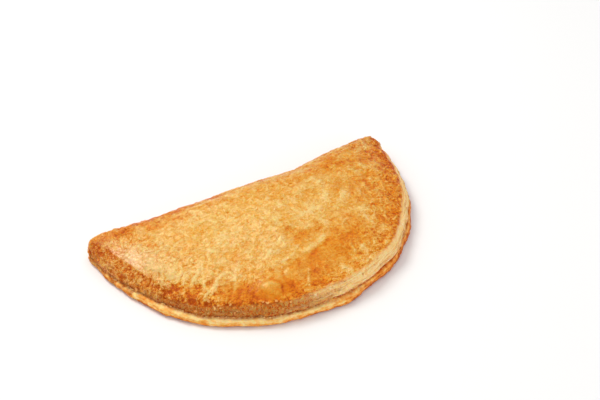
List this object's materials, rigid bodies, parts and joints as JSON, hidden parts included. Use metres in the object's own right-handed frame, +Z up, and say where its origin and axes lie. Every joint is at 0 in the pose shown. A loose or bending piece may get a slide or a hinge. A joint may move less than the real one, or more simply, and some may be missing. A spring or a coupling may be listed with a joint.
{
  "type": "cheese pie",
  "caption": "Half-moon baked cheese pie of folded puff pastry, with a domed egg-washed top and a cut curved edge.",
  "frame": {"origin": "On the table under the middle of the pie's overall length and depth.", "axes": "+X runs along the folded straight side from the left tip to the right tip, +Y points from the curved cut side to the folded side, +Z points up from the flat base."},
  "size_m": [0.17, 0.0938, 0.0255],
  "materials": {
    "crust": "baked golden pastry with an egg-wash sheen"
  },
  "bodies": {
    "root": {"cheese_pie": "crust"}
  },
  "joints": []
}
